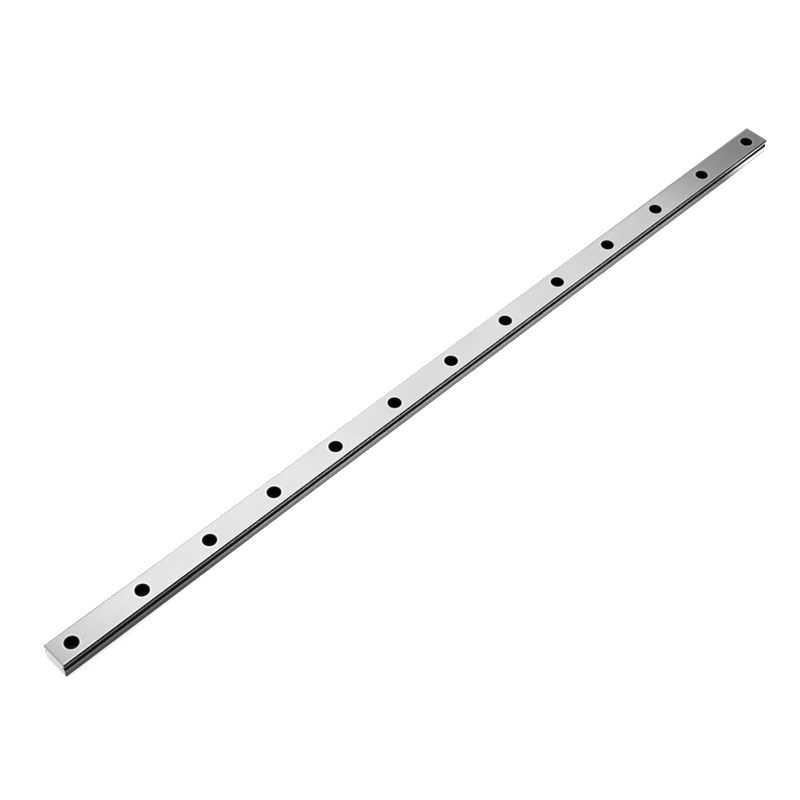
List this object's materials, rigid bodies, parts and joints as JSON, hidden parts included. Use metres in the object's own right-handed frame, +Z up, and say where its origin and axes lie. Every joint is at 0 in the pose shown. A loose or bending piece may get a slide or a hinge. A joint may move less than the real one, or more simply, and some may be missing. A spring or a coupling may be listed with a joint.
{
  "type": "miniature linear guide rail",
  "caption": "Straight ground steel guide rail with a ball raceway along each side and a row of counterbored screw holes, for a small ball carriage.",
  "frame": {"origin": "middle of the underside", "axes": "+X along the rail, +Y across it, +Z up through the screw holes towards their counterbores"},
  "size_m": [0.5, 0.015, 0.0095],
  "materials": {
    "ground_steel": "fine ground, semi-bright"
  },
  "bodies": {
    "root": {"guide_rail": "ground_steel"}
  },
  "joints": []
}
